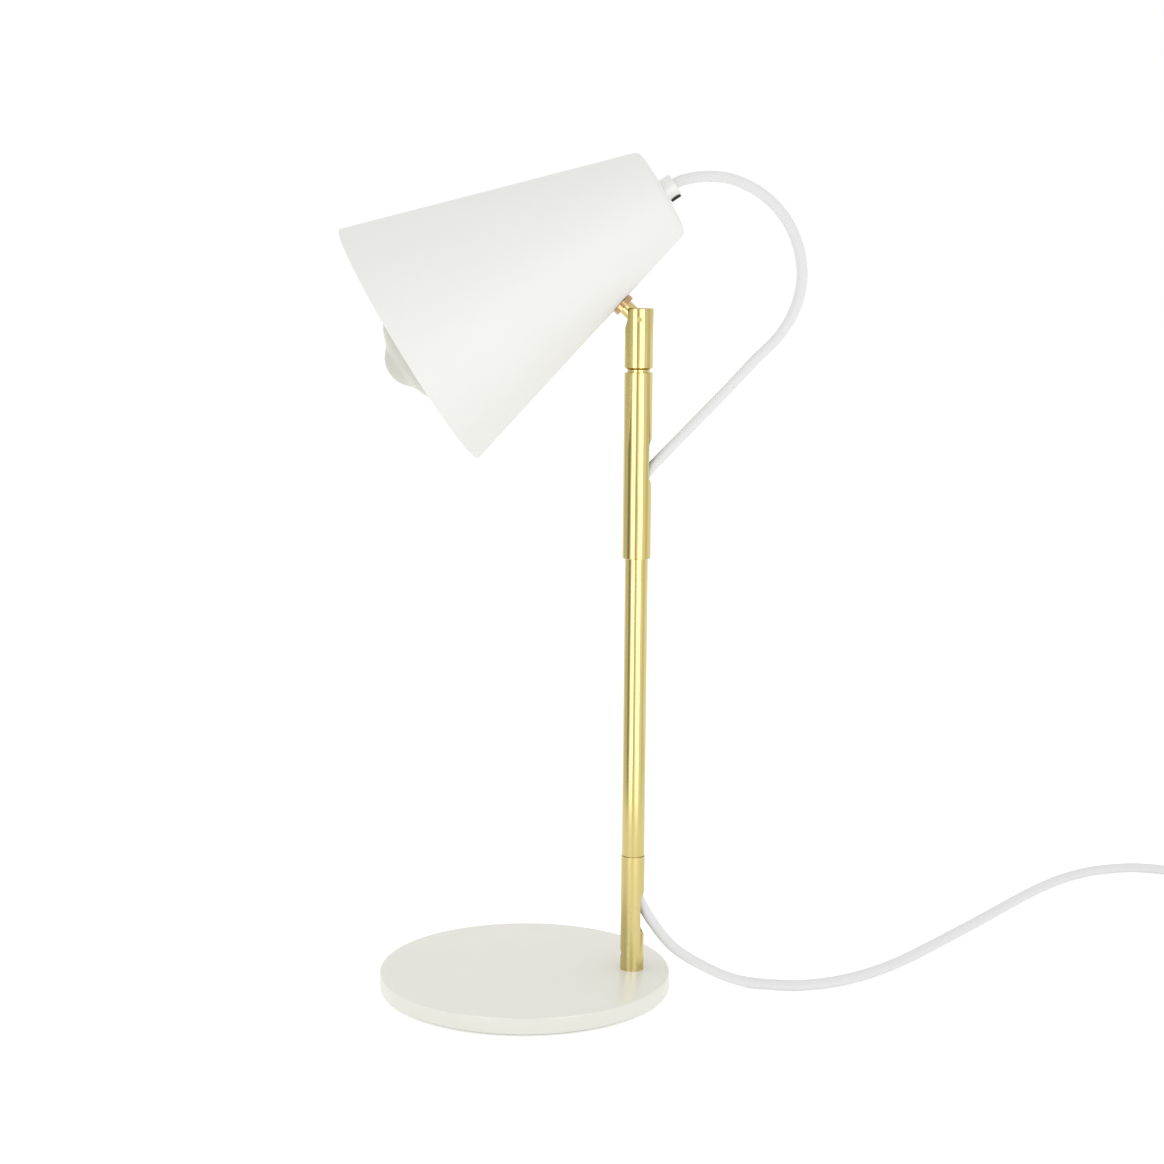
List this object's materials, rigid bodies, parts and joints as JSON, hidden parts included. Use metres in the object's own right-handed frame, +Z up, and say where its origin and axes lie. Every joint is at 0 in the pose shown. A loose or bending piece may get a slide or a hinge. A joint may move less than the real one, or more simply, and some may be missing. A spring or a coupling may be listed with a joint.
{
  "type": "desk lamp",
  "caption": "Desk lamp with a round plate foot, straight brass stem, tilting and swivelling white cone shade, loop of textile cord and coiled mains lead.",
  "frame": {"origin": "centre of the foot's underside, on the surface the lamp stands on", "axes": "+Z up, +X from the middle of the foot towards the stem, the shade points to -X"},
  "size_m": [0.7513, 0.3294, 0.473],
  "materials": {
    "powder": "off-white powder coat, semi-gloss",
    "shade_paint": "white powder coat, matt",
    "felt": "pale felted pad",
    "steel": "bright zinc plated",
    "brass": "polished brass",
    "copper_washer": "polished, reddish",
    "white_plastic": "moulded, semi-gloss",
    "white_rubber": "soft moulded",
    "black_steel": "blackened screw",
    "ceramic": "glazed",
    "cap_metal": "rolled thread",
    "opal_glass": "opal, unlit",
    "textile": "braided white textile over a round flex",
    "tie": "hook and loop band",
    "chrome": "nickel plated"
  },
  "bodies": {
    "stand": {"base_plate": "powder", "base_pad": "felt", "foot_bolt": "steel", "foot_washer": "steel", "foot_stud": "steel", "foot_collar": "brass", "collar_grub_screw": "steel", "stem_spigot": "brass", "stem_tube": "brass", "cord_anchor": "white_plastic", "upper_sleeve": "brass", "swivel_washer": "brass", "cord_loop_foot": "textile", "cord_inside": "textile", "mains_lead": "textile", "switch_base": "white_plastic", "switch_cover": "white_plastic", "switch_terminals": "brass", "switch_screws": "steel", "switch_lead": "textile", "lead_coil": "textile", "coil_tie": "tie", "lead_end": "textile", "plug_sleeve": "white_rubber", "plug_body": "white_plastic", "plug_pins": "chrome"},
    "knuckle": {"swivel_head": "brass", "swivel_spindle": "brass", "spindle_washer": "steel", "spindle_nut": "steel", "friction_spring": "steel", "friction_pad": "white_plastic", "pivot_pin": "brass", "cord_loop": "textile"},
    "shade": {"tilt_neck": "brass", "neck_washer": "copper_washer", "neck_nut": "brass", "shade_shell": "shade_paint", "cord_grip": "white_plastic", "grip_screw": "black_steel", "holder_tube": "steel", "tube_nut": "steel", "holder_cap": "white_plastic", "holder_body": "white_plastic", "holder_insert": "ceramic", "holder_thread": "brass", "holder_contact": "brass", "bulb_cap": "cap_metal", "bulb_contact": "steel", "bulb_glass": "opal_glass", "cord_tail": "textile"},
    "rocker": {"switch_rocker": "white_plastic"}
  },
  "joints": [
    {"name": "head_swivel", "type": "hinge", "parent": "stand", "child": "knuckle", "pos_m": [0.0619, 0, 0.355], "axis": [0, 0, 1], "range_deg": [-90, 90], "deforming": ["cord_loop_foot"]},
    {"name": "shade_tilt", "type": "hinge", "parent": "knuckle", "child": "shade", "pos_m": [0.0619, 0, 0.3827], "axis": [0, 1, 0], "range_deg": [-42, 30], "deforming": ["cord_loop"]},
    {"name": "switch_rock", "type": "hinge", "parent": "stand", "child": "rocker", "pos_m": [0.503, 0.222, 0.0115], "axis": [0, 1, 0], "range_deg": [-7, 7]}
  ]
}
